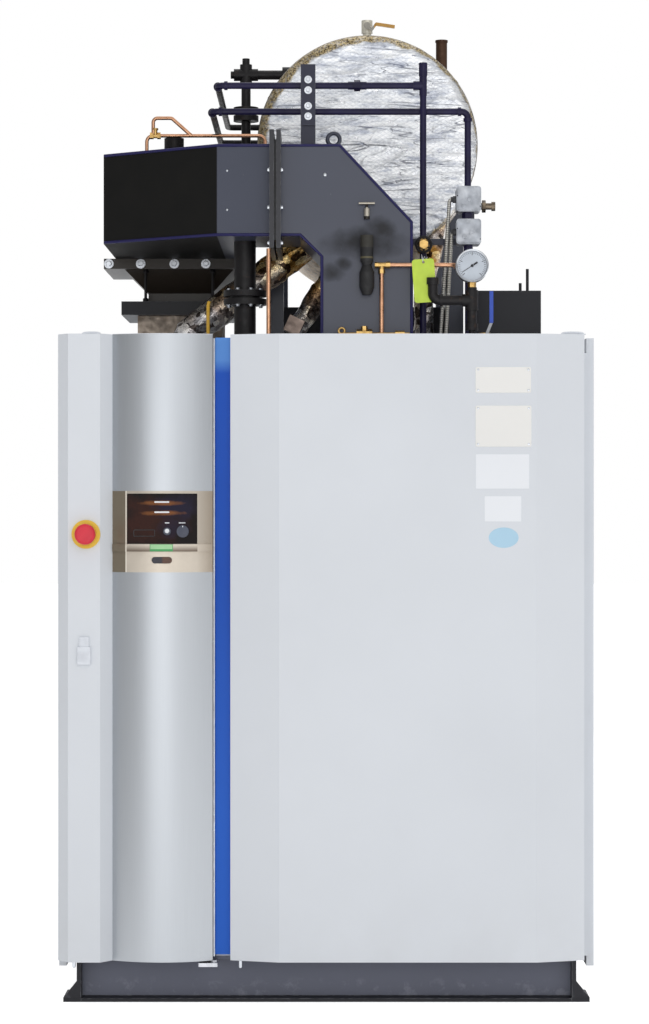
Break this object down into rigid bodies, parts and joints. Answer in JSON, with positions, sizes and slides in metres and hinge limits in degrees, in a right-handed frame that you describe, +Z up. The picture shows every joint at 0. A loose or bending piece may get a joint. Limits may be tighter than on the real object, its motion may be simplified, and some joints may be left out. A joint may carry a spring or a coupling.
{
  "type": "industrial boiler",
  "caption": "Gas-fired steam boiler: white panelled cabinet with a hinged control door, and the foil-wrapped drum, air duct and pipework on top.",
  "frame": {"origin": "centre of the footprint at floor level", "axes": "+Z up, +X to the right of the control front, +Y towards the back"},
  "size_m": [1.44, 2.29, 2.727],
  "materials": {
    "base_paint": "satin",
    "panel_white": "satin",
    "trim_blue": "gloss",
    "steel_plain": "satin",
    "column_steel": "brushed",
    "bezel_plastic": "satin",
    "window_smoked": "gloss",
    "black_plastic": "satin",
    "stop_yellow": "satin",
    "stop_red": "satin",
    "duct_paint": "satin",
    "foil": "gloss",
    "pipe_iron": "matte",
    "boot_rubber": "matte",
    "copper": "satin",
    "brass": "satin",
    "cast_alloy": "matte",
    "gauge_face": "satin",
    "lever_ochre": "satin",
    "lever_blue": "satin"
  },
  "bodies": {
    "boiler": {"base_front_channel": "base_paint", "base_rear_channel": "base_paint", "base_left_channel": "base_paint", "base_right_channel": "base_paint", "boiler_casing": "panel_white", "control_compartment": "panel_white", "main_front_panel": "panel_white", "blue_trim": "trim_blue", "side_panel_left": "panel_white", "side_panel_right": "panel_white", "rear_panel": "panel_white", "door_hinge": "steel_plain", "windbox": "duct_paint", "burner_funnel": "duct_paint", "burner_beam": "duct_paint", "burner_neck": "foil", "gas_pipe": "pipe_iron", "air_duct": "duct_paint", "duct_flange_pair": "duct_paint", "damper_handle": "steel_plain", "flame_detector": "boot_rubber", "drum_shell": "foil", "drum_front_end": "foil", "drum_rear_end": "foil", "drum_legs": "duct_paint", "vent_valve": "brass", "drum_stub": "pipe_iron", "insulated_pipes": "foil", "water_column": "pipe_iron", "sensing_upper_run": "pipe_iron", "sensing_lower_run": "pipe_iron", "sensing_returns": "pipe_iron", "sensing_risers": "pipe_iron", "gauge_manifold": "pipe_iron", "windbox_cap": "pipe_iron", "pipe_brackets": "duct_paint", "copper_tubes": "copper", "pressure_gauge": "gauge_face", "gauge_stem": "brass", "line_tee": "brass", "pressure_switches": "cast_alloy", "trim_valves": "brass", "isolator_wheel": "pipe_iron", "conduits": "steel_plain", "rear_boxes": "duct_paint", "flue_casing": "duct_paint", "ignition_transformer": "pipe_iron"},
    "control_door": {"door_left_panel": "panel_white", "door_column_upper": "column_steel", "door_column_lower": "column_steel", "control_bezel": "bezel_plastic", "control_window": "window_smoked", "control_knobs": "black_plastic", "door_latch": "steel_plain", "stop_ring": "stop_yellow"},
    "stop_button": {"stop_button": "stop_red"},
    "vent_lever": {"vent_lever": "lever_ochre"},
    "drain_lever": {"drain_lever": "lever_blue"}
  },
  "joints": [
    {"name": "control_door_swing", "type": "hinge", "parent": "boiler", "child": "control_door", "pos_m": [-0.3, -1.055, 0.9], "axis": [0, 0, 1], "range_deg": [0, 110]},
    {"name": "stop_button_push", "type": "slide", "parent": "control_door", "child": "stop_button", "axis": [0, 1, 0], "range_m": [0, 0.006]},
    {"name": "vent_lever_turn", "type": "hinge", "parent": "boiler", "child": "vent_lever", "pos_m": [0.117, -0.526, 2.7085], "axis": [0, -1, 0], "range_deg": [0, 90]},
    {"name": "drain_lever_turn", "type": "hinge", "parent": "boiler", "child": "drain_lever", "pos_m": [0.43, -0.936, 1.785], "axis": [0, 1, 0], "range_deg": [0, 90]}
  ]
}
